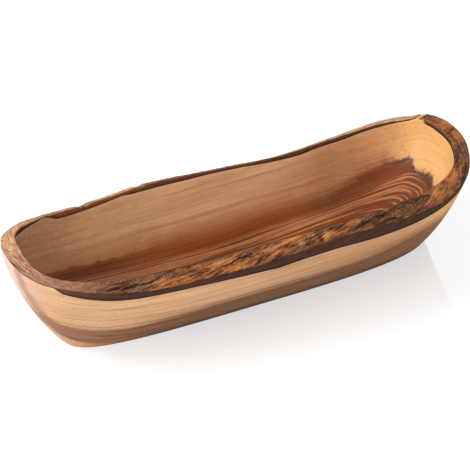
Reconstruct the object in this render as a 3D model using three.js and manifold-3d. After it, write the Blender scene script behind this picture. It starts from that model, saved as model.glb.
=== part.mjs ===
// A boat-shaped bread bowl carved from half an olive log, with the log's bark left on its rim.
// Millimetres, +Z up, +X along the length, origin under the middle of the flat foot.
import * as THREE from "three";
import { mergeVertices } from "three/addons/utils/BufferGeometryUtils.js";
import Module from "manifold-3d";

// Outside of the carved wood
const bowlLength = 405; // from tip to tip at the rim
const bowlWidth = 136; // across the sides, carried up to the flare height
const flareHeight = 100; // where the outside reaches its full length and width
const leftFootReach = 161; // flat foot, from the middle to its left end
const rightFootReach = 170;
const footWidth = 68;
const tipSwell = 3.4; // by which the right end bulges past its blunt outline at the rim
const tipSwellPlace = -8; // from the centre line, towards the front
const tipSwellReach = 24;

// The log, whose bark surface is the top of the rim
const logRadius = 91;
const crownHeight = 100.5; // top line of the log at mid-length
const crownTiltHeight = 1.8; // by which the left end lies higher, and the right end lower
const crownSagHeight = 1.8; // by which the middle lies lower than both ends
const logShift = 2; // log axis in front of the middle of the bowl
const backFlat = 5; // depth of the flat stretch in the back of the log
const backFlatPlace = 59;
const backFlatReach = 40;
const backSwell = 5; // height of the full stretch left of it
const backSwellPlace = -56;
const backSwellReach = 40;
const cornerSwell = 3.5; // height of the full stretch near the right end
const cornerSwellPlace = 157;
const cornerSwellReach = 30;

// Bark layers on the rim
const innerBark = 2.2;
const outerBark = 2.2;
const seatGap = 0.3; // between the wood and each layer of bark
const crackWidth = 1.2; // between one strip of bark and the next
const scaleThickness = 2.4; // old scale of bark on the front strip
const scaleLength = 40;
const scaleDepth = 15;
const scalePlace = 130;

// The hollow
const leftEndWall = 13.6;
const rightEndWall = 12;
const sideWall = 12.5;
const floorThickness = 21;
const floorWidth = 45;
const hollowSwellReach = 17;

// Roundness of the outlines: 2 is an ellipse, more is blunter
const leftFootCornerExponent = 3.9;
const leftRimCornerExponent = 2.6;
const rightFootCornerExponent = 3.4;
const rightRimCornerExponent = 4.8;
const leftHollowCornerExponent = 3.3;
const rightHollowCornerExponent = 4.2;

// Curve of each wall from foot to rim: 1 is straight, more bulges
const leftWallCurveExponent = 1.6;
const rightWallCurveExponent = 1;
const sideWallCurveExponent = 2.3;
const leftFloorCurveExponent = 3.7;
const rightFloorCurveExponent = 2.6;
const hollowSideCurveExponent = 1.7;

// Where the bark is broken into strips: rays from a hub on the centre line near each end
const hubReach = 130;
const rightBreakBack = THREE.MathUtils.degToRad(34);
const rightBreakFront = THREE.MathUtils.degToRad(-66);
const leftBreakBack = THREE.MathUtils.degToRad(114);
const leftBreakFront = THREE.MathUtils.degToRad(221);

// Fineness of the surfaces
const outlineSteps = 72;
const wallSteps = 11;
const outsideCrowdingExponent = 1.4; // more sets the level outlines closer together low down
const hollowCrowdingExponent = 2.2;
const levelShare = 0.004; // share of the floor's curve that is cut level in the middle
const logSteps = 40;
const barkSteps = 34;
const scaleSteps = 16;
const weldDistance = 1e-4;

// Sizes that follow from the ones above
const halfLength = bowlLength / 2;
const halfWidth = bowlWidth / 2;
const barkThickness = innerBark + outerBark + 2 * seatGap;
const woodRadius = logRadius - barkThickness;
const innerBarkRadius = woodRadius + seatGap + innerBark;
const scaleRadius = logRadius + seatGap + scaleThickness;
const tipHeight = crownHeight + crownTiltHeight + crownSagHeight;
const cutterMargin = 20; // by which a cutting solid runs past what it cuts
const cutterTop = tipHeight + seatGap + scaleThickness + cutterMargin;
const cutterReach = halfLength + cutterMargin;
const rayLength = 2 * cutterReach;

const wasm = await Module();
wasm.setup();

// A closed geometry as a solid that can be joined and cut
function solidOf(geometry) {
  const bare = geometry.index ? geometry.toNonIndexed() : geometry.clone();
  bare.deleteAttribute("normal");
  bare.deleteAttribute("uv");
  const merged = mergeVertices(bare, weldDistance);
  const shape = {
    numProp: 3,
    vertProperties: merged.attributes.position.array,
    triVerts: new Uint32Array(merged.index.array),
  };
  return new wasm.Manifold(new wasm.Mesh(shape));
}

// Closed geometry through a stack of rings that run the same way round
function loft(rings) {
  const around = rings[0].length;
  const positions = [];
  const triangles = [];
  for (const ring of rings) {
    for (const point of ring) positions.push(point.x, point.y, point.z);
  }
  for (let row = 0; row + 1 < rings.length; row++) {
    for (let i = 0; i < around; i++) {
      const a = row * around + i;
      const b = row * around + ((i + 1) % around);
      triangles.push(a, b, b + around, a, b + around, a + around);
    }
  }
  const lastRow = (rings.length - 1) * around;
  const firstHub = positions.length / 3;
  for (const ring of [rings[0], rings[rings.length - 1]]) {
    const hub = new THREE.Vector3();
    for (const point of ring) hub.addScaledVector(point, 1 / around);
    positions.push(hub.x, hub.y, hub.z);
  }
  for (let i = 0; i < around; i++) {
    const next = (i + 1) % around;
    triangles.push(firstHub, next, i);
    triangles.push(firstHub + 1, lastRow + i, lastRow + next);
  }
  const geometry = new THREE.BufferGeometry();
  geometry.setAttribute("position", new THREE.Float32BufferAttribute(positions, 3));
  geometry.setIndex(triangles);
  return geometry;
}

const mix = THREE.MathUtils.lerp;
const bulge = (share, curve) => 1 - (1 - share) ** curve;
const hump = (value, place, reach) => Math.exp(-(((value - place) / reach) ** 2));

// A level outline of the bowl: a rounded oblong with its own reach and corner at each end
function outline(size, height) {
  const ring = [];
  for (let i = 0; i < outlineSteps; i++) {
    const angle = (i / outlineSteps) * 2 * Math.PI;
    const along = Math.cos(angle);
    const across = Math.sin(angle);
    const reach = along > 0 ? size.right : size.left;
    const corner = along > 0 ? size.rightCorner : size.leftCorner;
    const stretch = (Math.abs(along) ** corner + Math.abs(across) ** corner) ** (-1 / corner);
    const y = size.side * across * stretch;
    let x = reach * along * stretch;
    if (along > 0) x += size.tip * hump(y, tipSwellPlace, size.tipReach);
    ring.push(new THREE.Vector3(x, y, height));
  }
  return ring;
}

function outsideAt(height) {
  const share = Math.min(height / flareHeight, 1);
  const size = {
    left: mix(leftFootReach, halfLength, bulge(share, leftWallCurveExponent)),
    right: mix(rightFootReach, halfLength - tipSwell, bulge(share, rightWallCurveExponent)),
    tip: tipSwell * share ** 2,
    tipReach: tipSwellReach,
    side: mix(footWidth / 2, halfWidth, bulge(share, sideWallCurveExponent)),
    leftCorner: mix(leftFootCornerExponent, leftRimCornerExponent, share),
    rightCorner: mix(rightFootCornerExponent, rightRimCornerExponent, share),
  };
  return outline(size, height);
}

// The floor is bowed along its length, so the lowest outlines of the hollow are short
function hollowAt(height) {
  const depthShare = Math.min((height - floorThickness) / (flareHeight - floorThickness), 1);
  const share = mix(levelShare, 1, depthShare);
  const size = {
    left: (halfLength - leftEndWall) * Math.sqrt(bulge(share, leftFloorCurveExponent)),
    right: (halfLength - tipSwell - rightEndWall) * Math.sqrt(bulge(share, rightFloorCurveExponent)),
    tip: tipSwell * share ** 2,
    tipReach: hollowSwellReach,
    side: mix(floorWidth / 2, halfWidth - sideWall, bulge(share, hollowSideCurveExponent)),
    leftCorner: leftHollowCornerExponent,
    rightCorner: rightHollowCornerExponent,
  };
  return outline(size, height);
}

function stack(outlineAt, bottom, crowding) {
  const rings = [];
  for (let row = 0; row < wallSteps; row++) {
    const share = (row / (wallSteps - 1)) ** crowding;
    rings.push(outlineAt(mix(bottom, flareHeight, share)));
  }
  rings.push(outlineAt(cutterTop));
  return solidOf(loft(rings));
}

// The log lying on its flat side, out to a given radius
function logOf(radius) {
  const floor = -cutterMargin;
  const rings = [];
  for (let row = 0; row <= logSteps; row++) {
    const x = mix(-cutterReach, cutterReach, row / logSteps);
    const share = x / halfLength;
    const axis = crownHeight - logRadius - crownTiltHeight * share + crownSagHeight * share ** 2;
    const full =
      backSwell * hump(x, backSwellPlace, backSwellReach) +
      cornerSwell * hump(x, cornerSwellPlace, cornerSwellReach) -
      backFlat * hump(x, backFlatPlace, backFlatReach);
    const ring = [];
    for (let i = 0; i <= barkSteps; i++) {
      const turn = (i / barkSteps - 0.5) * Math.PI;
      const reach = radius + full * Math.max(Math.sin(turn), 0);
      const y = reach * Math.sin(turn) - logShift;
      ring.push(new THREE.Vector3(x, y, axis + reach * Math.cos(turn)));
    }
    ring.push(new THREE.Vector3(x, ring[barkSteps].y, floor));
    ring.push(new THREE.Vector3(x, ring[0].y, floor));
    rings.push(ring.reverse());
  }
  return solidOf(loft(rings));
}

// Upright prism over a plan outline, tall enough to cut the whole bowl
function prism(points) {
  const plan = new THREE.Shape(points);
  const settings = { depth: cutterTop, bevelEnabled: false };
  return solidOf(new THREE.ExtrudeGeometry(plan, settings));
}

// Point on a ray from the hub near one end, well outside the bowl
function breakPoint(hub, angle) {
  return new THREE.Vector2(rayLength, 0).rotateAround(new THREE.Vector2(), angle).add(hub);
}

// Thin upright blade along such a ray, which opens the crack between two strips
function blade(hub, angle) {
  const plate = new THREE.BoxGeometry(rayLength, crackWidth, cutterTop);
  plate.translate(rayLength / 2, 0, cutterTop / 2);
  plate.rotateZ(angle);
  plate.translate(hub.x, hub.y, 0);
  return solidOf(plate);
}

const outside = stack(outsideAt, 0, outsideCrowdingExponent);
const hollow = stack(hollowAt, floorThickness, hollowCrowdingExponent);
const wall = outside.subtract(hollow);
const trough = wall.intersect(logOf(woodRadius));

const leftHub = new THREE.Vector2(-hubReach, 0);
const rightHub = new THREE.Vector2(hubReach, 0);
const rightBack = breakPoint(rightHub, rightBreakBack);
const rightFront = breakPoint(rightHub, rightBreakFront);
const leftBack = breakPoint(leftHub, leftBreakBack);
const leftFront = breakPoint(leftHub, leftBreakFront);
const farRight = new THREE.Vector2(rightBack.x, rightFront.y);
const farLeft = new THREE.Vector2(leftFront.x, leftBack.y);

const stretches = {
  front: prism([leftHub, leftFront, rightFront, rightHub]),
  right_end: prism([rightHub, rightFront, farRight, rightBack]),
  back: prism([leftHub, rightHub, rightBack, leftBack]),
  left_end: prism([leftHub, leftBack, farLeft, leftFront]),
};
const cracks = [
  blade(rightHub, rightBreakBack),
  blade(rightHub, rightBreakFront),
  blade(leftHub, leftBreakBack),
  blade(leftHub, leftBreakFront),
];

// One layer of bark on the rim, between two radii of the log, broken into strips
function barkStrips(fromRadius, toRadius) {
  let layer = wall.intersect(logOf(toRadius)).subtract(logOf(fromRadius));
  for (const crack of cracks) layer = layer.subtract(crack);
  const strips = {};
  for (const [place, stretch] of Object.entries(stretches)) {
    strips[place] = layer.intersect(stretch);
  }
  return strips;
}

// The old scale is a lens-shaped flake lying on the front strip
function barkScale() {
  const points = [];
  const middle = new THREE.Vector2(scalePlace, (scaleDepth - bowlWidth) / 2);
  for (let i = 0; i < scaleSteps; i++) {
    const angle = (i / scaleSteps) * 2 * Math.PI;
    const x = middle.x + (scaleLength / 2) * Math.cos(angle);
    points.push(new THREE.Vector2(x, middle.y + (scaleDepth / 2) * Math.sin(angle)));
  }
  const layer = wall.intersect(logOf(scaleRadius)).subtract(logOf(logRadius + seatGap));
  return layer.intersect(prism(points));
}

const bowl = new THREE.Group();
bowl.name = "olive_wood_bowl";

function place(name, solid, colour, roughness) {
  const { numProp, vertProperties, triVerts } = solid.getMesh();
  const geometry = new THREE.BufferGeometry();
  const vertices = new THREE.BufferAttribute(vertProperties, numProp);
  geometry.setAttribute("position", vertices);
  geometry.setIndex(new THREE.BufferAttribute(triVerts, 1));
  geometry.computeVertexNormals();
  const material = new THREE.MeshStandardMaterial({ color: colour, roughness, metalness: 0 });
  const mesh = new THREE.Mesh(geometry, material);
  mesh.name = name;
  bowl.add(mesh);
}

place("wood_trough", trough, 0xd9a876, 0.45);
const innerStrips = barkStrips(woodRadius + seatGap, innerBarkRadius);
const outerStrips = barkStrips(innerBarkRadius + seatGap, logRadius);
for (const [stretch, strip] of Object.entries(innerStrips)) {
  place(`inner_bark_${stretch}`, strip, 0x3f2a26, 0.6);
}
for (const [stretch, strip] of Object.entries(outerStrips)) {
  place(`outer_bark_${stretch}`, strip, 0x8a5a38, 0.85);
}
place("old_bark_scale", barkScale(), 0x5d5443, 0.95);

export default bowl;
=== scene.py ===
import math
import bmesh
import bpy
import numpy as np
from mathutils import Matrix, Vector


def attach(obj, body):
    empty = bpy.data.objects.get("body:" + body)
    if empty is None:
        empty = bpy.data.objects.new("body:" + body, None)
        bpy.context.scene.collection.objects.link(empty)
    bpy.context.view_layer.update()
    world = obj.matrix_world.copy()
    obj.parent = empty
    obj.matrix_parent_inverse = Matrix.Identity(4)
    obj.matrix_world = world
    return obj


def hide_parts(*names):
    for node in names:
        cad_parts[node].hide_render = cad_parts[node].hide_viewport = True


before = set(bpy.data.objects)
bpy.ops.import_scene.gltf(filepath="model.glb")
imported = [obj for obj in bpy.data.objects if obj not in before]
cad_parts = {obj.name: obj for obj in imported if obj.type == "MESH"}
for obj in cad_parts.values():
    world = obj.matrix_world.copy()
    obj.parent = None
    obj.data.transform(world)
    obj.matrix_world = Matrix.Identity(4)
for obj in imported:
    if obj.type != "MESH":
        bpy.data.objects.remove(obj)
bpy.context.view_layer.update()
mm = 0.001
print("frame loaded", sorted(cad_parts))

# the carved form in millimetres: half sizes at the foot and at the flare height, then how they grow between
bowl = {
    "left": (161, 202.5, 1.6),
    "right": (170, 199.0, 1.0),
    "side": (34, 68, 2.3),
    "leftCorner": (3.9, 2.6),      # higher is squarer in plan
    "rightCorner": (3.4, 4.8),
    "height": 100,
    "tip": (3.4, -8, 24),          # bulge of the right end: by how much, where across the bowl, how wide
}
hollow = {
    "left": 188.9,
    "right": 187.1,
    "leftCurve": 3.7,
    "rightCurve": 2.6,
    "side": (22.5, 55.5, 1.7),
    "corners": (3.3, 4.2),
    "floor": 21,
    "height": 100,
    "level": 0.004,                # share of the depth that stays flat on the floor
    "tip": (3.4, -8, 17),
}
log = {
    "radius": 91,
    "crown": 100.5,
    "tilt": 1.8,
    "sag": 1.8,
    "shift": 2,
    "swells": ((5, -56, 40), (-5, 59, 40), (3.5, 157, 30)),     # on the back: height, place, reach
}


def bulge(share, curve):
    return 1 - (1 - share) ** curve


def between(pair, share):
    return pair[0] + (pair[1] - pair[0]) * share


# a value that changes along something, from rows of a share and the value there
def along(rows, share):
    return np.interp(share, [row[0] for row in rows], [row[1] for row in rows])


# one level outline of the bowl: x and y at the angles, with its own corner for each end
def outline(angles, left, right, side, leftCorner, rightCorner, tip, share):
    across = np.cos(angles)
    up = np.sin(angles)
    power = 2 / np.where(across > 0, rightCorner, leftCorner)
    reach = np.where(across > 0, right, left)
    x = reach * np.sign(across) * np.abs(across) ** power
    y = side * np.sign(up) * np.abs(up) ** power
    swell = tip[0] * share ** 2 * np.exp(-((y - tip[1]) / tip[2]) ** 2)
    return x + np.where(across > 0, swell, 0), y


def outsideAt(angles, height):
    share = np.clip(height / bowl["height"], 0, 1)
    left = between(bowl["left"], bulge(share, bowl["left"][2]))
    right = between(bowl["right"], bulge(share, bowl["right"][2]))
    side = between(bowl["side"], bulge(share, bowl["side"][2]))
    leftCorner = between(bowl["leftCorner"], share)
    rightCorner = between(bowl["rightCorner"], share)
    return outline(angles, left, right, side, leftCorner, rightCorner, bowl["tip"], share)


def hollowAt(angles, height):
    depth = np.clip((height - hollow["floor"]) / (hollow["height"] - hollow["floor"]), 0, 1)
    share = hollow["level"] + (1 - hollow["level"]) * depth
    left = hollow["left"] * np.sqrt(bulge(share, hollow["leftCurve"]))
    right = hollow["right"] * np.sqrt(bulge(share, hollow["rightCurve"]))
    side = between(hollow["side"], bulge(share, hollow["side"][2]))
    return outline(angles, left, right, side, *hollow["corners"], hollow["tip"], share)


# height of the log's round surface of a radius above a plan point
def logTop(x, y, radius):
    share = x / bowl["left"][1]
    axis = log["crown"] - log["radius"] - log["tilt"] * share + log["sag"] * share ** 2
    full = sum(height * np.exp(-((x - place) / reach) ** 2) for height, place, reach in log["swells"])
    aside = y + log["shift"]
    reach = (radius + np.sqrt(radius ** 2 + 4 * full * np.maximum(aside, 0))) / 2
    return axis + np.sqrt(np.maximum(reach ** 2 - aside ** 2, 1))


rimSearch = {"from": 25.0, "to": 130.0, "halvings": 44}         # heights between which the whole rim lies


# where a wall meets the log's surface of a radius
def rimEdge(angles, wall, radius):
    low = np.full_like(angles, rimSearch["from"])
    high = np.full_like(angles, rimSearch["to"])
    for step in range(rimSearch["halvings"]):
        middle = (low + high) / 2
        x, y = wall(angles, middle)
        under = middle < logTop(x, y, radius)
        low = np.where(under, middle, low)
        high = np.where(under, high, middle)
    x, y = wall(angles, low)
    return np.stack([x, y, low], axis=-1)


# one and a half turns of close angles, the two edges of the rim at them, and how far along the edges they are
halfTurn = 20000
dense = np.linspace(-math.pi, 2 * math.pi, 3 * halfTurn + 1)
denseOuter = rimEdge(dense, outsideAt, log["radius"])
denseInner = rimEdge(dense, hollowAt, log["radius"])


def runAlong(points):
    steps = np.linalg.norm(np.diff(points[:, :2], axis=0), axis=1)
    return np.concatenate([[0], np.cumsum(steps)])


outerRun = runAlong(denseOuter)
innerRun = runAlong(denseInner)
roundStart, roundEnd = np.interp([0, 2 * math.pi], dense, outerRun)
wayRound = roundEnd - roundStart


# angles at even steps of the way round, so that the straight sides get points as well as the corners
def evenAngles(count):
    return np.interp(np.linspace(roundStart, roundEnd, count, endpoint=False), outerRun, dense)


def gridFaces(rows, columns):
    row = np.arange(rows - 1)[:, None] * columns
    column = np.arange(columns)[None, :]
    after = (column + 1) % columns
    quads = np.stack([row + column, row + after, row + columns + after, row + columns + column], axis=-1)
    return quads.reshape(-1, 4).tolist()


# joins the columns of a row of closed cross-sections, with a face on either end
def loft(columns):
    wide = len(columns)
    count = len(columns[0])
    faces = gridFaces(count, wide)
    faces.append(list(range(wide))[::-1])
    faces.append([(count - 1) * wide + i for i in range(wide)])
    return np.stack(columns, axis=1).reshape(-1, 3), faces


# a smooth mesh object from points in millimetres, with a value of each attribute at each point
def makePiece(name, points, faces, attributes):
    mesh = bpy.data.meshes.new(name)
    mesh.from_pydata((np.asarray(points) * mm).tolist(), [], faces)
    for key, values in attributes.items():
        layer = mesh.attributes.new(key, "FLOAT", "POINT")
        layer.data.foreach_set("value", np.asarray(values, dtype=np.float32))
    work = bmesh.new()
    work.from_mesh(mesh)
    bmesh.ops.recalc_face_normals(work, faces=work.faces)
    work.to_mesh(mesh)
    work.free()
    mesh.polygons.foreach_set("use_smooth", [True] * len(mesh.polygons))
    piece = bpy.data.objects.new(name, mesh)
    bpy.context.scene.collection.objects.link(piece)
    return piece


# wraps one socket of a node tree, so that sums of sockets read as sums
class Sock:
    def __init__(self, tree, socket=None):
        self.tree = tree
        self.socket = socket

    # any node: its type, its settings, then values or links for its sockets
    def add(self, kind, settings=None, sockets=None, out=0):
        node = self.tree.nodes.new(kind)
        for key, value in (settings or {}).items():
            setattr(node, key, value)
        for key, value in (sockets or {}).items():
            if isinstance(value, Sock):
                self.tree.links.new(value.socket, node.inputs[key])
            else:
                node.inputs[key].default_value = value
        return Sock(self.tree, node.outputs[out] if len(node.outputs) else None)

    def math(self, operation, first, second=0.0):
        return self.add("ShaderNodeMath", {"operation": operation}, {0: first, 1: second})

    def __add__(self, other):
        return self.math("ADD", self, other)

    def __sub__(self, other):
        return self.math("SUBTRACT", self, other)

    def __rsub__(self, other):
        return self.math("SUBTRACT", other, self)

    def __mul__(self, other):
        return self.math("MULTIPLY", self, other)

    def __truediv__(self, other):
        return self.math("DIVIDE", self, other)

    def __rtruediv__(self, other):
        return self.math("DIVIDE", other, self)

    __radd__ = __add__
    __rmul__ = __mul__

    # 0 below low, 1 above high, smooth between
    def rise(self, low, high):
        settings = {"interpolation_type": "SMOOTHSTEP"}
        return self.add("ShaderNodeMapRange", settings, {0: self, 1: low, 2: high, 3: 0.0, 4: 1.0})

    def least(self, other):
        return self.math("MINIMUM", self, other)

    def most(self, other):
        return self.math("MAXIMUM", self, other)

    def vector(self, operation, sockets):
        return self.add("ShaderNodeVectorMath", {"operation": operation}, {0: self, **sockets})

    # soft noise from 0 to 1 with features of a size in millimetres along x, y and z
    def noise(self, size, seed=0.0, detail=2.0, roughness=0.5, distortion=0.0):
        factor = tuple(1 / s for s in size)
        move = (seed * 1.7, seed * 3.1, seed * 5.3)
        place = self.vector("MULTIPLY_ADD", {1: factor, 2: move})
        sockets = {"Vector": place, "Scale": 1.0, "Detail": detail, "Roughness": roughness}
        return self.add("ShaderNodeTexNoise", {}, {**sockets, "Distortion": distortion})

    # slow noise about zero, over a range of an amount
    def drift(self, size, seed, amount):
        return (self.noise(size, seed, 1) - 0.5) * amount

    # from the first colour to the second, with this socket as the factor
    def mix(self, first, second, strength=1.0):
        factor = self if strength == 1.0 else self * strength
        return self.add("ShaderNodeMix", {"data_type": "RGBA"}, {0: factor, 6: first, 7: second}, 2)


# a colour as a paint program gives it, from 0 to 255
def colour(red, green, blue):
    linear = [((c / 255 + 0.055) / 1.055) ** 2.4 if c > 10 else c / 255 / 12.92 for c in (red, green, blue)]
    return (*linear, 1.0)


def evenGrey(level):
    return (level, level, level, 1.0)


def inMillimetres(place):
    return place.vector("SCALE", {3: 1 / mm})


def newMaterial(name):
    material = bpy.data.materials.new(name)
    material.use_nodes = True
    material.node_tree.nodes.clear()
    root = Sock(material.node_tree)
    place = inMillimetres(root.add("ShaderNodeTexCoord", out=3))
    return material, root, place


def axesOf(place):
    node = place.add("ShaderNodeSeparateXYZ", {}, {0: place}).socket.node
    return [Sock(place.tree, output) for output in node.outputs]


def attribute(root, name):
    return root.add("ShaderNodeAttribute", {"attribute_name": name}, {}, 2)


def shade(root, sockets):
    surface = root.add("ShaderNodeBsdfPrincipled", {}, sockets)
    root.add("ShaderNodeOutputMaterial", {}, {0: surface})


wood = {
    "pithY": -9.5,
    "pithZ": 10.0,
    "pithClimb": 10.0,             # the pith climbs this much towards the right end
    "perRadian": 40.0,             # millimetres that a radian round the pith counts for in the rings' pattern
    "core": 36.0,                  # radius of the striped middle
    "heart": 47.5,                 # radius of the dark heartwood
    "gold": 15.0,                  # width of the warm band outside it
    "farRing": 62.7,               # radius of the darker ring on the far wall
    "streak": 49.5,                # how far in front of the middle the pink streak starts
    "bandStart": -138.5,           # where the pale band leaves the foot's edge
    "sapPale": colour(236, 189, 144),
    "sapTan": colour(203, 153, 110),
    "sapAmber": colour(202, 143, 95),
    "sapGold": colour(242, 184, 118),
    "hairline": colour(150, 102, 68),
    "warm": colour(203, 143, 97),
    "heartRed": colour(168, 95, 46),
    "heartDark": colour(116, 60, 24),
    "endDark": colour(96, 54, 42),
    "coreTan": colour(192, 128, 83),
    "coreDark": colour(120, 64, 32),
    "footBrown": colour(160, 110, 72),
    "footDark": colour(112, 72, 42),
    # painted contact shade along the bottom of the outside
    "footContactShade": colour(68, 38, 19),
    "pink": colour(154, 104, 80),
    # pale end colour, also the painted highlight on the left end's top
    "endPaleAndHighlight": colour(216, 184, 163),
    "footEdge": colour(224, 162, 112),
}


def woodMaterial():
    material, root, place = newMaterial("oliveWood")
    x, y, z = axesOf(place)
    pastLeft = x.rise(-130, -60)
    nearRight = x.rise(50, 110)
    # the pith wanders a little along the log, and the rings with it
    climb = x.rise(30, 170) * wood["pithClimb"]
    aside = y - wood["pithY"] + place.drift((160, 600, 600), 1, 6)
    above = z - wood["pithZ"] - climb + place.drift((150, 600, 600), 2, 6)
    middle = root.math("SQRT", aside * aside + above * above)
    radius = middle + place.drift((170, 45, 45), 3, 7)
    radius = radius + place.drift((80, 12, 12), 4, 1.8) + place.drift((42, 24, 24), 10, 2.6)
    angle = root.math("ARCTAN2", aside, above)
    rings = root.add("ShaderNodeCombineXYZ", {}, {0: x, 1: radius, 2: angle * wood["perRadian"]})
    bands = rings.noise((210, 6, 70), 5, 2, 0.55)
    lines = rings.noise((150, 1.7, 50), 6, 2, 0.6)
    flames = rings.noise((11, 40, 5), 7, 2)
    stripes = rings.noise((170, 1.35, 60), 16, 2, 0.6)
    fine = place.noise((34, 1.2, 1.2), 8, 3, 0.65)
    pores = place.noise((9, 1.0, 1.0), 14, 1).rise(0.58, 0.7)
    # pale sapwood with fine lines, warmer towards the right
    sap = (bands * 0.55 + lines * 0.45).rise(0.36, 0.66).mix(wood["sapPale"], wood["sapTan"])
    hairs = (lines * 0.7 + bands * 0.3).rise(0.56, 0.68) * (1 - x.rise(130, 165) * 0.6)
    sap = hairs.mix(sap, wood["hairline"], 0.65)
    amber = x.rise(25, 120) * 0.6 + place.noise((120, 26, 26), 9, 1).rise(0.45, 0.75) * 0.25
    sap = amber.mix(sap, wood["sapAmber"])
    sap = x.rise(120, 172).mix(sap, wood["sapGold"], 0.85)
    # striped core inside a red-brown shell, which stands out further behind the right end
    atEnd = (x + (flames - 0.5) * 10).rise(152, 164)
    inward = radius - wood["core"] - atEnd * 2 + (x.rise(10, 100) - x.rise(125, 150)) * 2.5
    inward = inward + (bands - 0.5) * 6 + (lines - 0.5) * 5
    firstRing = inward.rise(-8, -6) * (1 - nearRight * 0.7)
    striped = stripes * 0.8 + lines * 0.2 - firstRing * 0.1 + nearRight * 0.045
    core = striped.rise(0.44, 0.52).mix(wood["coreTan"], wood["coreDark"])
    dark = stripes * 0.3 + lines * 0.4 + bands * 0.3 - x.rise(-120, -60) * 0.12 + nearRight * 0.16
    shell = dark.rise(0.34, 0.58).mix(wood["heartRed"], wood["heartDark"])
    behind = (angle + (flames - 0.5) * 0.24).rise(0.52, 0.7)
    endPatch = atEnd * (1 - behind + (radius + (flames - 0.5) * 6).rise(49, 51)).least(1.0)
    shell = endPatch.mix(shell, wood["endDark"])
    heart = inward.rise(-1, 1.5).mix(core, shell)
    # the edge of the heartwood is ragged at both ends, and soft and even along the middle
    edge = x.rise(90, 150) * behind * 8 - atEnd * (1 - behind) * 4 + wood["heart"]
    spread = x.rise(-110, -30)
    even = spread * (1 - x.rise(100, 150))
    soft = radius + (bands - 0.5) * 7 + (flames - 0.5) * (7 - even * 4.5)
    soft = soft + (lines - 0.5) * 6 + (fine - 0.5) * 4 - edge
    golden = (soft / wood["gold"]).rise(0.0, 1.1).mix(wood["warm"], sap)
    golden = atEnd.mix(golden, sap)
    # one darker ring stands out on the far wall
    ring = middle + x.rise(-20, 90) * 4 - wood["farRing"] + place.drift((60, 30, 30), 19, 3)
    ring = 1 - root.math("ABSOLUTE", ring).rise(0.3, 2.4)
    ring = ring * x.rise(-90, -30) * (1 - x.rise(80, 130))
    golden = ring.mix(golden, wood["heartRed"], 0.3)
    edgeFrom = -2.5 - spread - even * 4
    edgeTo = 2.6 + spread * 0.4 + even * 4.5 - atEnd * 2
    inside = soft.rise(edgeFrom, edgeTo).mix(heart, golden)
    # the outside is greyer where it cuts the heartwood, partly sanded wood and partly a painted sheen of the
    # white table
    footLines = stripes * 0.3 + lines * 0.3 + bands * 0.4
    outside = footLines.rise(0.42, 0.57).mix(wood["footBrown"], wood["footDark"])
    # darker towards the foot, right of the left end: painted contact shade
    outside = ((1 - z.rise(4, 22)) * pastLeft).mix(outside, wood["footContactShade"], 0.8)
    outside = (lines * 0.7 + fine * 0.3).rise(0.54, 0.64).mix(outside, wood["sapTan"], 0.35)
    sapEdge = soft - (flames - 0.5) * 6 + (lines - 0.5) * 16
    sapEdge = sapEdge - pastLeft * 6.5 - x.rise(40, 140) * 2 - 3
    outside = sapEdge.rise(-7, 8).mix(outside, sap)
    # the left end is pink, with a painted highlight on its top and a darker streak round its front, which is
    # painted shade along its edge
    tipside = 1 - (x + (bands - 0.5) * 16).rise(-203, -176)
    outside = tipside.mix(outside, wood["pink"], 0.6)
    outside = (tipside * (z + y * 0.15).rise(48, 74)).mix(outside, wood["endPaleAndHighlight"], 0.9)
    # darker pink streak near the left end's front edge: painted shade
    streak = y - z * 0.3 + wood["streak"] + (bands - 0.5) * 8
    streak = 1 - root.math("ABSOLUTE", streak).rise(2, 7)
    streak = streak * (1 - x.rise(-165, -140)) * (0.85 - z.rise(45, 65) * 0.25)
    outside = streak.mix(outside, wood["pink"])
    # a pale band climbs from the foot's edge round the left end
    past = (wood["bandStart"] - x).most(0.0)
    bandHeight = z + (x - wood["bandStart"]) * 0.25 - past * past * 0.0114 + (bands - 0.5) * 5
    bandTone = x.rise(-188, -155).mix(wood["endPaleAndHighlight"], wood["footEdge"])
    band = (1 - bandHeight.rise(7, 13)) * (1 - x.rise(-165, -120) * 0.75) * (1 - x.rise(-125, -90))
    band = band * (1.2 - lines * 0.8) * (1 - y.rise(-14, 10))
    outside = band.mix(outside, bandTone)
    outer = attribute(root, "outside")
    base = outer.mix(inside, outside)
    # fine light and dark lines everywhere, faint marks across the grain and clouds inside, and painted shade
    # inside at the left end and under the left part of the rim
    tone = (fine - 0.5) * 0.5 + (lines - 0.5) * 0.4 + (bands - 0.5) * 0.2 - pores * 0.14 + 1.02
    innerToneAndShade = place.drift((6, 60, 40), 15, 0.1) + (place.noise((38, 30, 13), 20, 2) - 0.5) * 0.32
    # the inside is darker overall and towards the right, and darker still at the left end: painted shade
    innerToneAndShade = innerToneAndShade + x.rise(-165, -110) * 0.2 - x.rise(60, 110) * 0.12 - 0.13
    # the top of the inner wall under the left rim is darker: painted shade
    innerToneAndShade = innerToneAndShade - (1 - x.rise(-150, -50)) * z.rise(55, 85) * 0.12
    outerTone = x.rise(70, 150) * 0.1 - x.rise(-170, -70) * 0.05 + 0.05
    tone = tone + (1 - outer) * innerToneAndShade + outer * outerTone
    base = base.vector("SCALE", {3: tone})
    bump = root.add("ShaderNodeBump", {}, {"Strength": 0.12, "Distance": 0.0004, "Height": fine})
    shade(root, {
        "Base Color": base,
        "Roughness": fine * 0.12 + 0.42,
        "Specular IOR Level": 0.2,
        "Normal": bump,
        "Coat Weight": 0.03,
        "Coat Roughness": 0.3,
    })
    return material


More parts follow.
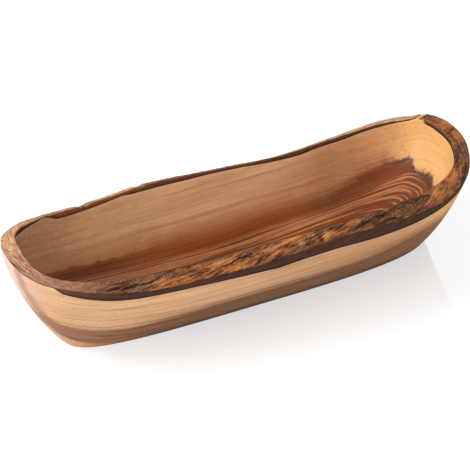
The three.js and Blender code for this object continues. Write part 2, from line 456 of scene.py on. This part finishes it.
# depth of the bark below the log's surface, by the way round from the right tip (0 to 1)
barkDepth = (
    (0.00, 4.8), (0.036, 4.6), (0.041, 0.6), (0.050, 0.6), (0.058, 2.4), (0.080, 3.4),
    (0.10, 3.6), (0.12, 4.6), (0.145, 4.1), (0.162, 5.0), (0.19, 3.8), (0.22, 2.9),
    (0.255, 3.0), (0.275, 4.2), (0.31, 5.2), (0.325, 4.7), (0.336, 3.3), (0.36, 4.7),
    (0.39, 6.1), (0.405, 6.0), (0.414, 2.8), (0.421, 0.6), (0.433, 3.0), (0.459, 5.8),
    (0.475, 4.6), (0.492, 2.0), (0.52, 1.0), (0.543, 1.5), (0.555, 0.6), (0.562, 3.9),
    (0.585, 4.8), (0.605, 5.2), (0.625, 4.5), (0.655, 2.8), (0.68, 2.4), (0.705, 3.2),
    (0.73, 4.4), (0.755, 6.0), (0.778, 4.2), (0.812, 3.1), (0.848, 4.9), (0.89, 6.0),
    (0.93, 5.6), (1.00, 4.8),
)


def woodRadius(angles):
    share = (np.interp(angles, dense, outerRun) - roundStart) / wayRound % 1
    return log["radius"] - along(barkDepth, share)


trough = {
    "around": 560,
    "outerRows": 60,
    "rimRows": 8,
    "innerRows": 70,
    "outerCrowd": 1.3,                       # above 1 the rows crowd towards the foot
    "innerCrowd": 1.9,                       # and these towards the floor
    "footRings": (0.3, 0.6, 0.85, 0.97),     # shares of the foot's outline
    "floorRings": (0.75, 0.45, 0.15),
    "footRound": (0.004, 1.2),               # slightly rounded edge of the foot: share taken off, height
}


def makeTrough():
    count = trough["around"]
    angles = evenAngles(count)
    radius = woodRadius(angles)
    outer = rimEdge(angles, outsideAt, radius)
    inner = rimEdge(angles, hollowAt, radius)
    rows = []
    height = np.zeros_like(angles)
    x, y = outsideAt(angles, height)
    for share in trough["footRings"]:
        rows.append(np.stack([x * share, y * share, height], axis=-1))
    for step in np.linspace(0, 1, trough["outerRows"]) ** trough["outerCrowd"]:
        height = outer[:, 2] * step
        x, y = outsideAt(angles, height)
        foot = 1 - trough["footRound"][0] * np.exp(-height / trough["footRound"][1])
        rows.append(np.stack([x * foot, y * foot, height], axis=-1))
    for step in np.linspace(0, 1, trough["rimRows"] + 2)[1:]:
        plan = outer * (1 - step) + inner * step
        plan[:, 2] = logTop(plan[:, 0], plan[:, 1], radius)
        rows.append(plan)
    for step in np.linspace(1, 0, trough["innerRows"])[1:] ** trough["innerCrowd"]:
        height = hollow["floor"] + (inner[:, 2] - hollow["floor"]) * step
        x, y = hollowAt(angles, height)
        rows.append(np.stack([x, y, height], axis=-1))
    for share in trough["floorRings"]:
        rows.append(np.stack([x * share, y * share, height], axis=-1))
    points = np.concatenate(rows + [[[0, 0, 0]], [[0, 0, hollow["floor"]]]])
    faces = gridFaces(len(rows), count)
    last = (len(rows) - 1) * count
    for i in range(count):
        after = (i + 1) % count
        faces.append([len(points) - 2, after, i])
        faces.append([len(points) - 1, last + i, last + after])
    outsideRows = len(trough["footRings"]) + trough["outerRows"] + trough["rimRows"] // 2
    outside = np.repeat(np.arange(len(rows)) < outsideRows, count)
    return makePiece("woodTrough", points, faces, {"outside": np.append(outside, (1.0, 0.0))})


# where the bark is split: a point on the middle line, and the angle of the ray from it
breaks = {
    "rightBack": (130, 34),
    "rightFront": (130, -66),
    "leftBack": (-130, 114),
    "leftFront": (-130, 221),
}


def breakAngle(name, points):
    place, degrees = breaks[name]
    turn = np.degrees(np.unwrap(np.arctan2(points[:, 1], points[:, 0] - place)))
    turn -= 360 * round(turn[halfTurn] / 360)
    return np.interp(degrees, turn, dense)


# rough to crust go along a strip: rows of a share and the value there, millimetres of height for the crust
# warm to pits are blots: place along and across, half length in millimetres, half width as a share
# a crack is a line of points along and across; gap is left off both ends, step and across are the mesh's
strips = {
    "front": {
        "from": "leftFront", "to": "rightFront", "gap": (0.02, 0.1), "step": 0.48, "across": 52,
        "rough": ((0, 0.2), (0.07, 0.35), (0.14, 0.9), (0.55, 1), (0.7, 0.8), (0.85, 0.9), (1, 0.5)),
        "sanded": ((0, 0.6), (0.08, 0.4), (0.15, 0)),
        "band": ((0, 0.02), (0.05, 0.12), (0.25, 0.1), (0.375, 0.2), (0.5, 0.13), (0.62, 0.2), (0.75, 0.36),
                 (0.87, 0.25), (1, 0.08)),
        "rust": ((0, 0.5), (0.06, 0.15), (0.2, 0)),
        "crumbly": ((0, 0.3), (0.1, 0.1), (0.85, 0.1), (1, 0.4)),
        "crust": ((0, 0),),
        "warm": ((0.28, 0.38, 22, 0.25), (0.4, 0.75, 18, 0.22), (0.454, 0.3, 14, 0.22),
                 (0.555, 0.6, 11, 0.25), (0.61, 0.9, 9, 0.2), (0.709, 0.62, 9, 0.18),
                 (0.775, 0.85, 10, 0.15), (0.98, 0.5, 6, 0.4)),
        # the last dull blot, just below the old scale, is painted shadow under it
        "dull": ((0.16, 0.4, 24, 0.5), (0.82, 0.5, 24, 0.3), (0.715, 0.95, 12, 0.18), (0.95, 0.28, 9, 0.14)),
        "grey": ((0.12, 0.8, 20, 0.25), (0.19, 0.9, 20, 0.2), (0.268, 0.85, 15, 0.22),
                 (0.205, 0.3, 14, 0.3), (0.481, 0.8, 9, 0.18), (0.837, 0.78, 16, 0.14),
                 (0.38, 0.95, 24, 0.14), (0.62, 0.3, 10, 0.2)),
        "knobs": ((0.632, 0.55, 2.6, 0.16), (0.7, 0.65, 3.4, 0.2), (0.666, 0.8, 4, 0.2)),
        "pits": ((0.685, 0.5, 2, 0.12), (0.335, 0.92, 2, 0.08), (0.883, 0.43, 3, 0.16)),
        "cracks": (((0.295, 0.12), (0.319, 0.25), (0.352, 0.34), (0.381, 0.37), (0.435, 0.58), (0.469, 0.7),
                    (0.502, 0.72)),
                   ((0.8, 0.68), (0.837, 0.75), (0.88, 0.8)),
                   ((0.335, 0.5), (0.36, 0.48), (0.39, 0.56)),
                   ((0.13, 0.3), (0.2, 0.5), (0.24, 0.55))),
    },
    "rightEnd": {
        "from": "rightFront", "to": "rightBack", "gap": (0.1, 2.6), "step": 0.5, "across": 44,
        "rough": ((0, 0.5),),
        "sanded": ((0, 0),),
        "band": ((0, 0.08), (0.3, 0.05), (1, 0.05)),
        "rust": ((0, 0),),
        "crumbly": ((0, 0.4), (0.12, 0.9), (0.7, 0.9), (0.8, 0.6), (1, 0.7)),
        "crust": ((0, 0),),
        "warm": ((0.04, 0.6, 9, 0.35), (0.24, 0.7, 9, 0.3), (0.63, 0.3, 9, 0.3), (0.785, 0.4, 12, 0.4)),
        "dull": ((0.42, 0.75, 12, 0.25), (0.3, 0.2, 8, 0.2)),
        "grey": ((0.45, 0.3, 12, 0.3),),
        "knobs": (),
        "pits": (),
        "cracks": (((0.66, 0.75), (0.685, 0.4), (0.7, 0.15)),),
    },
    "back": {
        "from": "rightBack", "to": "leftBack", "gap": (3.4, 0.3), "step": 0.7, "across": 30,
        "rough": ((0, 0.15), (0.3, 0.2), (0.4, 0.35), (0.72, 0.35), (0.8, 0.3), (1, 0.3)),
        "sanded": ((0, 0.9), (0.3, 0.8), (0.36, 0.15), (0.74, 0.1), (0.77, 0.8), (0.88, 0.6), (0.9, 0.2),
                   (0.92, 0.8), (1, 0.7)),
        "band": ((0, 0.03), (1, 0.05)),
        "rust": ((0, 0.8), (0.04, 0.1), (0.32, 0.15), (0.4, 0.5), (0.7, 0.4), (0.77, 1), (1, 1)),
        "crumbly": ((0, 0.3),),
        "crust": ((0, -2), (0.05, 0), (0.73, 0), (0.735, -0.8), (0.75, -0.6), (0.76, 0.3), (0.8, 0),
                  (0.88, -0.3), (0.89, -1.5), (0.91, -1.3), (0.92, -0.2), (1, 0)),
        "warm": ((0.1, 0.5, 50, 0.8), (0.3, 0.5, 30, 0.4), (0.8, 0.5, 30, 0.4)),
        "dull": (),
        "grey": ((0.5, 0.5, 40, 0.3),),
        "knobs": (),
        "pits": (),
        "cracks": (((0.45, 0.2), (0.6, 0.7)), ((0.86, 0.3), (0.9, 0.95))),
    },
    "leftEnd": {
        "from": "leftBack", "to": "leftFront", "gap": (0.3, 0.02), "step": 0.5, "across": 40,
        "rough": ((0, 0.5), (0.3, 0.25), (0.8, 0.25), (1, 0.3)),
        "sanded": ((0, 0.6), (0.2, 0.9), (0.33, 1), (0.6, 1), (0.75, 0.8), (1, 0.6)),
        "band": ((0, 0.05), (0.3, 0.02), (1, 0.02)),
        "rust": ((0, 0), (0.4, 0), (0.5, 1), (1, 0.8)),
        "crumbly": ((0, 0.3),),
        "crust": ((0, 0), (0.3, -0.35), (0.8, -0.35), (1, 0)),
        "warm": ((0.32, 0.5, 36, 0.8),),
        "dull": (),
        "grey": ((0.1, 0.5, 8, 0.4), (0.85, 0.5, 16, 0.5)),
        "knobs": (),
        "pits": (),
        "cracks": (),
    },
}


# a strip's mesh and its two layers
stripMesh = {
    "down": 8,                     # points down each wall
    "under": 10,                   # points across the underside
    "innerStep": 1.2,              # the inner bark is smooth, so its mesh is coarser
    "innerAcross": 14,
    "innerShare": 0.45,            # share of the bark's depth that the inner bark takes
    "thinnest": 0.3,               # least thickness of the outer bark
    "crack": 1.0,                  # width of the cracks
}
# the space that the bark's fibres lie in: width and thickness in millimetres, and how they slant inward
fibreSpace = {"width": 14, "thickness": 4, "slant": 0.2}


# how strongly each point lies in any of the blots
def blots(rows, share, across, length):
    most = np.zeros_like(share)
    for middle, aside, reach, width in rows:
        away = ((share - middle) * length / reach) ** 2 + ((across - aside) / width) ** 2
        most = np.maximum(most, np.exp(-away))
    return most


# how near each point is to any of the crack lines, which wriggle a little
def cracked(lines, run, across, length):
    wriggle = 0.5 * np.sin(run * 0.35) + 0.25 * np.sin(run * 1.1 + across * 9)
    here = np.stack([run, across * fibreSpace["width"] + wriggle], axis=-1)
    nearest = np.full_like(run, np.inf)
    for line in lines:
        corners = np.array(line) * (length, fibreSpace["width"])
        for first, second in zip(corners[:-1], corners[1:]):
            step = second - first
            part = np.clip((here - first) @ step / (step @ step), 0, 1)
            nearest = np.minimum(nearest, np.linalg.norm(here - first - part[:, None] * step, axis=1))
    width = stripMesh["crack"] * (0.75 + 0.35 * np.sin(run * 0.31))
    return np.exp(-(nearest / width) ** 2)


# where a strip starts and stops, as runs along the outer and the inner edge of the rim
def stripEnds(strip):
    starts = [breakAngle(strip["from"], edge) for edge in (denseOuter, denseInner)]
    stops = [breakAngle(strip["to"], edge) for edge in (denseOuter, denseInner)]
    if stops[0] < starts[0]:
        stops = [stop + 2 * math.pi for stop in stops]
    gap = np.array([strip["gap"][0], -strip["gap"][1]])
    outerEnds = np.interp([starts[0], stops[0]], dense, outerRun) + gap
    innerEnds = np.interp([starts[1], stops[1]], dense, innerRun) + gap
    return outerEnds, innerEnds


# the run counted from one break on, so that the grain of the bark goes on over the other breaks
def fromStart(run):
    start = np.interp(breakAngle("leftFront", denseOuter), dense, outerRun)
    return (run - start) % wayRound


# radii of the log below the inner bark, between the layers, and on top of the outer bark
def layerRadii(angles, share, strip):
    low = woodRadius(angles)
    middle = low * (1 - stripMesh["innerShare"]) + log["radius"] * stripMesh["innerShare"]
    top = np.maximum(log["radius"] + along(strip["crust"], share), middle + stripMesh["thinnest"])
    return low, middle, top


# a closed length of bark, cut off by both walls: layer 0 is the inner bark and 1 the outer
def makeStrip(name, strip, layer, step, acrossCount):
    outerEnds, innerEnds = stripEnds(strip)
    length = outerEnds[1] - outerEnds[0]
    count = int(length / step) + 1
    share = np.linspace(0, 1, count)
    outerAngle = np.interp(between(outerEnds, share), outerRun, dense)
    innerAngle = np.interp(between(innerEnds, share), innerRun, dense)
    low, high = layerRadii(outerAngle, share, strip)[layer:layer + 2]
    outerLow, innerLow = rimEdge(outerAngle, outsideAt, low), rimEdge(innerAngle, hollowAt, low)
    outerHigh, innerHigh = rimEdge(outerAngle, outsideAt, high), rimEdge(innerAngle, hollowAt, high)
    # the points of one cross-section: across, depth, and whether it lies on a wall
    loop = [(s, 0.0, False) for s in np.linspace(0, 1, acrossCount)]
    loop += [(1.0, d, True) for d in np.linspace(0, 1, stripMesh["down"])[1:-1]]
    loop += [(s, 1.0, False) for s in np.linspace(1, 0, stripMesh["under"])]
    loop += [(0.0, d, True) for d in np.linspace(1, 0, stripMesh["down"])[1:-1]]
    columns = []
    for s, d, onWall in loop:
        outer = outerHigh * (1 - d) + outerLow * d
        inner = innerHigh * (1 - d) + innerLow * d
        point = outer * (1 - s) + inner * s
        if not onWall:
            point[:, 2] = logTop(point[:, 0], point[:, 1], high if d == 0 else low)
        columns.append(point)
    points, faces = loft(columns)
    wide = len(loop)
    across = np.tile([row[0] for row in loop], count)
    spot = np.repeat(share, wide)
    attributes = {
        "run": fromStart(outerEnds[0] + spot * length),
        "across": across,
        "depth": np.tile([row[1] for row in loop], count),
        "crack": cracked(strip["cracks"], spot * length, across, length),
    }
    for key in ("rough", "sanded", "band", "rust", "crumbly"):
        attributes[key] = along(strip[key], spot)
    for key in ("warm", "dull", "grey", "knobs", "pits"):
        attributes[key] = blots(strip[key], spot, across, length)
    piece = makePiece(name, points, faces, attributes)
    # sharp edges round both ends, so that the joints don't show as shaded lines
    last = len(points) - wide
    sharp = [max(edge.vertices) < wide or min(edge.vertices) >= last for edge in piece.data.edges]
    piece.data.attributes.new("sharp_edge", "BOOLEAN", "EDGE").data.foreach_set("value", sharp)
    return piece


# the old scale is a lens-shaped flake on the front strip
oldScale = {
    "from": 0.862,                 # shares along the strip
    "to": 0.995,
    "middle": 0.66,                # shares across it
    "half": 0.36,
    "thickness": 2.2,
    "sunk": 1.0,                   # how deep its underside lies in the bark
    "rough": 0.7,
    "grey": 0.5,
    "rows": 100,
    "columns": 34,
    "underColumns": 12,
}


def makeScale():
    outerEnds, innerEnds = stripEnds(strips["front"])
    count = oldScale["rows"]
    share = np.linspace(oldScale["from"], oldScale["to"], count)
    outer = rimEdge(np.interp(between(outerEnds, share), outerRun, dense), outsideAt, log["radius"])
    inner = rimEdge(np.interp(between(innerEnds, share), innerRun, dense), hollowAt, log["radius"])
    part = np.linspace(0.02, 0.98, count)
    lens = np.sin(part * math.pi) ** 0.6
    loop = [(v, 1) for v in np.linspace(-1, 1, oldScale["columns"])]
    loop += [(v, 0) for v in np.linspace(1, -1, oldScale["underColumns"])[1:-1]]
    columns = []
    for v, up in loop:
        ragged = 0.04 * np.sin(part * 41 + v * 2) + 0.03 * np.sin(part * 97)
        across = oldScale["middle"] + v * (oldScale["half"] + ragged * abs(v)) * lens
        point = outer * (1 - across)[:, None] + inner * across[:, None]
        thick = oldScale["thickness"] * (1 - v ** 2) ** 0.7 * lens if up else -oldScale["sunk"]
        point[:, 2] = logTop(point[:, 0], point[:, 1], log["radius"] + thick)
        columns.append(point)
    points, faces = loft(columns)
    side = np.tile([v for v, up in loop], count)
    attributes = {
        "run": fromStart(np.repeat(between(outerEnds, share), len(loop))),
        "across": 0.5 + 0.3 * side,
        "depth": np.tile([1 - up for v, up in loop], count),
        "rough": oldScale["rough"] * (1 - np.abs(side) ** 6),
        "crust": side,
        "grey": np.full(len(points), oldScale["grey"]),
        "band": np.full(len(points), -1.0),           # no smooth band on it
    }
    return makePiece("oldBarkScale", points, faces, attributes)


# heights of the bark's relief in millimetres
lift = {
    "ridges": 4.4,
    "flakes": 1.9,
    "grains": 0.8,
    "greyGrains": 2.6,
    "warm": 0.3,
    "knobs": 1.3,
    "furrows": -0.9,
    "pits": -1.5,
    "cracks": -1.5,
    "edges": -0.8,                 # along both walls
    "lowest": -1.9,
    "highest": 1.4,
}


def fibresOf(root, run, across, depth):
    inward = across * fibreSpace["width"] - run * fibreSpace["slant"]
    return root.add("ShaderNodeCombineXYZ", {}, {0: run, 1: inward, 2: depth * fibreSpace["thickness"]})


# the uneven surface of the bark, as a geometry node tree that any strip can take
def barkRelief():
    tree = bpy.data.node_groups.new("barkRelief", "GeometryNodeTree")
    tree.interface.new_socket("Geometry", in_out="OUTPUT", socket_type="NodeSocketGeometry")
    tree.interface.new_socket("Geometry", in_out="INPUT", socket_type="NodeSocketGeometry")
    for name, value in (("Height", 1.0), ("Seed", 0.0)):
        tree.interface.new_socket(name, in_out="INPUT", socket_type="NodeSocketFloat").default_value = value
    tree.interface.new_socket("Material", in_out="INPUT", socket_type="NodeSocketMaterial")
    root = Sock(tree)
    group = root.add("NodeGroupInput").socket.node
    given = {output.name: Sock(tree, output) for output in group.outputs if output.name}
    place = inMillimetres(root.add("GeometryNodeInputPosition"))
    place = place.vector("ADD", {1: root.add("ShaderNodeCombineXYZ", {}, {0: given["Seed"]})})

    def read(name):
        return root.add("GeometryNodeInputNamedAttribute", {"data_type": "FLOAT"}, {"Name": name})

    across = read("across")
    depth = read("depth")
    rough = read("rough")
    fibres = fibresOf(root, read("run") + given["Seed"], across, depth)
    ridges = fibres.noise((18, 2.6, 2.6), 1, 3, 0.6, 0.5) - 0.5
    flakes = fibres.noise((6, 1.7, 1.7), 2, 2, 0.6) - 0.5
    furrows = 1 - root.math("ABSOLUTE", fibres.noise((20, 2.4, 2.4), 3, 1) - 0.5).rise(0.0, 0.05)
    grains = place.noise((1.7, 1.1, 1.1), 4, 2, 0.6) - 0.5
    height = ridges * lift["ridges"] + flakes * lift["flakes"] + grains * lift["grains"]
    height = (height + furrows * lift["furrows"] + read("warm") * lift["warm"]) * rough
    height = height + grains * read("grey") * lift["greyGrains"] + read("knobs") * lift["knobs"]
    height = height + read("pits") * lift["pits"] + read("crack") * lift["cracks"]
    height = (height * given["Height"]).most(lift["lowest"]).least(lift["highest"])
    # only the top is rough, and it dips towards both walls
    top = 1 - depth.rise(0.0, 0.6)
    bevel = (across + ridges * 0.2 - read("band")).rise(-0.14, 0.1)
    edge = bevel * (1 - across.rise(0.93, 1.0))
    height = (height * edge + (1 - edge) * given["Height"] * lift["edges"]) * top
    stored = root.add("GeometryNodeStoreNamedAttribute", {"data_type": "FLOAT", "domain": "POINT"},
                      {"Geometry": given["Geometry"], "Name": "relief", "Value": height})
    # away from the log's axis
    y, z = axesOf(place)[1:]
    axis = log["crown"] - log["radius"]
    radial = root.add("ShaderNodeCombineXYZ", {}, {1: y + log["shift"], 2: z - axis})
    offset = radial.vector("NORMALIZE", {}).vector("SCALE", {3: height * mm})
    moved = root.add("GeometryNodeSetPosition", {}, {"Geometry": stored, "Offset": offset})
    joined = root.add("GeometryNodeRealizeInstances", {}, {0: moved})
    painted = root.add("GeometryNodeSetMaterial", {}, {"Geometry": joined, "Material": given["Material"]})
    root.add("NodeGroupOutput", {}, {0: painted})
    return tree


# puts a tree on a piece with its inputs, and keeps the result as the piece's mesh
def applyTree(piece, tree, inputs):
    modifier = piece.modifiers.new(tree.name, "NODES")
    modifier.node_group = tree
    for item in tree.interface.items_tree:
        if item.in_out == "INPUT" and item.name in inputs:
            modifier[item.identifier] = inputs[item.name]
    depsgraph = bpy.context.evaluated_depsgraph_get()
    made = bpy.data.meshes.new_from_object(piece.evaluated_get(depsgraph))
    piece.modifiers.clear()
    piece.data = made


bark = {
    "dark": colour(70, 44, 34),
    "brown": colour(124, 78, 52),
    "rust": colour(170, 102, 56),
    "orange": colour(212, 136, 74),
    "tan": colour(216, 160, 106),
    "grey": colour(100, 72, 57),
    "ash": colour(162, 125, 100),
    "pit": colour(50, 31, 22),
    "cutDark": colour(82, 48, 31),
    "cutLine": colour(56, 34, 24),
    "cutRust": colour(150, 90, 54),
    "rustLine": colour(108, 58, 29),
    "inner": colour(44, 26, 18),
    "innerRust": colour(98, 52, 25),
    "sanded": colour(230, 172, 126),
    "sandedDark": colour(184, 122, 84),
    "pinkBrown": colour(196, 148, 122),
    "chip": colour(252, 214, 172),
    "fleck": colour(170, 92, 52),
    "moss": colour(80, 52, 35),
    "mossPale": colour(166, 119, 78),
}


def barkMaterial(name, cutDark, cutRust):
    material, root, place = newMaterial(name)
    across = attribute(root, "across")
    depth = attribute(root, "depth")
    relief = attribute(root, "relief")
    sanded = attribute(root, "sanded")
    warm = attribute(root, "warm")
    rough = attribute(root, "rough")
    crumbly = attribute(root, "crumbly")
    fibres = fibresOf(root, attribute(root, "run"), across, depth)
    fibre = fibres.noise((15, 1.7, 1.7), 11, 4, 0.64)
    patch = fibres.noise((24, 5, 5), 12, 2, 0.55)
    flake = fibres.noise((7, 2.0, 2.0), 16, 2, 0.6)
    grain = place.noise((1.5, 0.9, 0.9), 13, 2, 0.65)
    crumbs = place.noise((4.2, 3.0, 3.0), 23, 3, 0.65)
    # from dark furrows over brown and rust to orange and tan crests, lighter where the relief stands high and
    # darker where it is low: painted light and shade
    glow = (fibre - 0.5) * (2.9 - crumbly * 2.2) + (crumbs - 0.5) * crumbly * 2.8 + (flake - 0.5) * 0.8
    glow = (glow + (patch - 0.5) * 0.8 + (grain - 0.5) * 0.7 + relief * 0.16) * (rough * 0.6 + 0.4)
    glow = glow + warm * 0.36 - attribute(root, "dull") * 0.24 + rough * 0.12 + 0.38
    top = glow.rise(0.1, 0.4).mix(bark["dark"], bark["brown"])
    top = glow.rise(0.38, 0.62).mix(top, bark["rust"])
    top = ((glow + (warm - 0.4) * 0.2).rise(0.58, 1.0) * (1 - crumbly * 0.4)).mix(top, bark["orange"])
    top = glow.rise(0.98, 1.3).mix(top, bark["tan"])
    # speckled grey patches, paler on high relief, pale knobs, and dark pits where the relief is deepest: dark
    # bark with painted shade
    grey = (attribute(root, "grey") + (patch - 0.5) * 0.8 + (flake - 0.5) * 0.8).rise(0.3, 0.7)
    specks = (grain + relief * 0.08).rise(0.44, 0.62).mix(bark["grey"], bark["ash"])
    top = grey.mix(top, specks, 0.65)
    top = (attribute(root, "knobs") * (fibre + grain).rise(0.8, 1.1)).mix(top, bark["tan"], 0.6)
    top = (1 - (relief + (grain - 0.5) * 0.6).rise(-1.7, -0.8)).mix(top, bark["pit"])
    # sanded bark is tan with red flecks and pale chips, and pinker away from the tip
    plain = (fibre * 0.8 + (grain - 0.5) * 0.5).rise(0.3, 0.75).mix(bark["sanded"], bark["sandedDark"])
    plain = (1 - warm.rise(0.15, 0.6)).mix(plain, bark["pinkBrown"], 0.8)
    mottle = fibres.noise((11, 4, 4), 17, 2, 0.65)
    plain = mottle.rise(0.5, 0.62).mix(plain, bark["fleck"], 0.6)
    chips = fibres.noise((8, 3.2, 3.4), 18, 2).rise(0.56, 0.64) * (warm * 0.25 + 0.45)
    plain = chips.mix(plain, bark["chip"])
    plain = (mottle * 0.4 + fibre * 0.6).rise(0.55, 0.65).mix(plain, bark["brown"], 0.52)
    top = sanded.mix(top, plain, 0.9)
    # the cut walls, and the smooth band that the same cut leaves along the outer edge
    line = fibres.noise((45, 0.9, 0.5), 15, 2).rise(0.42, 0.66)
    dark = line.mix(cutDark, bark["cutLine"])
    rusty = line.mix(cutRust, bark["rustLine"])
    cut = attribute(root, "rust").mix(dark, rusty)
    bandEdge = 1 - (across + (fibre - 0.5) * 0.12 - attribute(root, "band")).rise(-0.03, 0.03)
    base = depth.rise(0.02, 0.1).most(bandEdge).mix(top, cut)
    bump = root.add("ShaderNodeBump", {}, {"Strength": 0.4, "Distance": 0.0005, "Height": grain + fibre})
    shade(root, {
        "Base Color": base,
        "Roughness": 0.7 - sanded * 0.24,
        "Specular IOR Level": 0.25,
        "Normal": bump,
    })
    return material


def oldBarkMaterial():
    material, root, place = newMaterial("oldBark")
    relief = attribute(root, "relief")
    grain = place.noise((1.1, 0.8, 0.8), 21, 2, 0.65)
    blotch = place.noise((6, 2.5, 2.5), 22, 2, 0.6)
    # paler specks on the high relief: a little painted light
    top = (grain + relief * 0.1).rise(0.42, 0.62).mix(bark["moss"], bark["mossPale"])
    top = blotch.rise(0.48, 0.64).mix(top, bark["brown"], 0.8)
    crust = attribute(root, "crust") + (blotch - 0.5) * 4 + (grain - 0.5) * 3      # dark on the inner side
    top = crust.rise(0.2, 0.8).mix(top, bark["pit"], 0.65)
    # darkest where the relief is deepest: painted shade in the hollows
    top = (1 - (relief + (grain - 0.5) * 0.8).rise(-1.2, -0.3)).mix(top, bark["pit"])
    bump = root.add("ShaderNodeBump", {}, {"Strength": 0.5, "Distance": 0.0005, "Height": grain})
    shade(root, {"Base Color": top, "Roughness": 0.85, "Specular IOR Level": 0.2, "Normal": bump})
    return material


woodTrough = makeTrough()
woodTrough.data.materials.append(woodMaterial())
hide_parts("wood_trough")
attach(woodTrough, "root")
print("wood trough", len(woodTrough.data.polygons), "faces")

reliefTree = barkRelief()
outerStuff = barkMaterial("outerBark", bark["cutDark"], bark["cutRust"])
innerStuff = barkMaterial("innerBark", bark["inner"], bark["innerRust"])
nodeNames = {"front": "front", "rightEnd": "right_end", "back": "back", "leftEnd": "left_end"}
for key, strip in strips.items():
    lower = makeStrip(key + "InnerBark", strip, 0, stripMesh["innerStep"], stripMesh["innerAcross"])
    upper = makeStrip(key + "OuterBark", strip, 1, strip["step"], strip["across"])
    applyTree(lower, reliefTree, {"Height": 0.0, "Material": innerStuff})
    applyTree(upper, reliefTree, {"Height": 1.0, "Material": outerStuff})
    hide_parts("inner_bark_" + nodeNames[key])
    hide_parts("outer_bark_" + nodeNames[key])
    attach(lower, "root")
    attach(upper, "root")
    print("bark", key, len(upper.data.polygons), "faces")

flake = makeScale()
applyTree(flake, reliefTree, {"Height": 0.9, "Material": oldBarkMaterial()})
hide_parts("old_bark_scale")
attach(flake, "root")
print("old scale", len(flake.data.polygons), "faces")


# turns an object to look along a direction, and puts it in the scene
def lookAlong(thing, direction):
    thing.rotation_mode = "QUATERNION"
    thing.rotation_quaternion = direction.to_track_quat("-Z", "Y")
    bpy.context.scene.collection.objects.link(thing)


camera = {"turn": -23.27, "rise": 41.56, "away": 2.2235, "target": (-0.00246, 0, 0.053), "lens": 204.49}
turn = math.radians(camera["turn"])
rise = math.radians(camera["rise"])
back = Vector((math.sin(turn) * math.cos(rise), -math.cos(turn) * math.cos(rise), math.sin(rise)))
lens = bpy.data.cameras.new("camera")
lens.lens = camera["lens"]
lens.sensor_width = 36
lens.clip_end = 20
viewer = bpy.data.objects.new("camera", lens)
viewer.location = Vector(camera["target"]) + back * camera["away"]
lookAlong(viewer, -back)
bpy.context.scene.camera = viewer

lights = {
    "key": {"place": (-1.5, 0.45, 0.95), "aim": (0, 0, 0.05), "size": 0.7, "power": 26},
    "front": {"place": (-0.6, -1.9, 0.7), "aim": (0, 0, 0.05), "size": 1.2, "power": 14},
}
for name, light in lights.items():
    lamp = bpy.data.lights.new(name, "AREA")
    lamp.size = light["size"]
    lamp.energy = light["power"]
    stand = bpy.data.objects.new(name, lamp)
    stand.location = light["place"]
    lookAlong(stand, Vector(light["aim"]) - Vector(light["place"]))

# the sky is white to look at and dimmer as a light
skyLight = 0.45
world = bpy.data.worlds.new("world")
world.use_nodes = True
world.node_tree.nodes.clear()
sky = Sock(world.node_tree)
path = sky.add("ShaderNodeLightPath").socket.node
kinds = ("Is Camera Ray", "Is Glossy Ray", "Is Transmission Ray")
toCamera, toGloss, toGlass = [Sock(sky.tree, path.outputs[kind]) for kind in kinds]
seen = toCamera.most(toGloss).most(toGlass)
strength = seen * (1 - skyLight) + skyLight
backdrop = sky.add("ShaderNodeBackground", {}, {"Color": evenGrey(1), "Strength": strength})
sky.add("ShaderNodeOutputWorld", {}, {0: backdrop})
bpy.context.scene.world = world

tableTop = {
    "half": 8,                     # metres
    "matt": 0.4,
    "glow": 0.72,                  # with this the lit table is just white
    "bounce": 0.85,                # what it throws back onto the bowl
    "mirror": 0.2,
    "mirrorAside": (0.02, 0.12),   # the mirror image fades between these distances from the middle line
    "mirrorAlong": (-0.22, 0.02),  # and comes in along the bowl
}
tableStuff = bpy.data.materials.new("whiteTable")
tableStuff.use_nodes = True
tableStuff.node_tree.nodes.clear()
root = Sock(tableStuff.node_tree)
bounce = root.add("ShaderNodeBsdfDiffuse", {}, {"Color": evenGrey(tableTop["bounce"])})
matt = root.add("ShaderNodeBsdfPrincipled", {}, {
    "Base Color": evenGrey(tableTop["matt"]),
    "Roughness": 0.6,
    "Emission Color": evenGrey(1),
    "Emission Strength": tableTop["glow"],
})
mirror = root.add("ShaderNodeBsdfGlossy", {}, {"Color": evenGrey(1), "Roughness": 0.0})
x, y = axesOf(root.add("ShaderNodeTexCoord", out=3))[:2]
fade = (1 - root.math("ABSOLUTE", y).rise(*tableTop["mirrorAside"])) * x.rise(*tableTop["mirrorAlong"])
faced = root.add("ShaderNodeMixShader", {}, {0: fade * tableTop["mirror"], 1: matt, 2: mirror})
cameraRay = root.add("ShaderNodeLightPath")
surface = root.add("ShaderNodeMixShader", {}, {0: cameraRay, 1: bounce, 2: faced})
root.add("ShaderNodeOutputMaterial", {}, {0: surface})
half = tableTop["half"]
tableMesh = bpy.data.meshes.new("table")
corners = [(-half, -half, 0), (half, -half, 0), (half, half, 0), (-half, half, 0)]
tableMesh.from_pydata(corners, [], [(0, 1, 2, 3)])
table = bpy.data.objects.new("table", tableMesh)
table.data.materials.append(tableStuff)
bpy.context.scene.collection.objects.link(table)
bpy.context.scene.view_settings.view_transform = "Standard"
print("camera, lights and table")
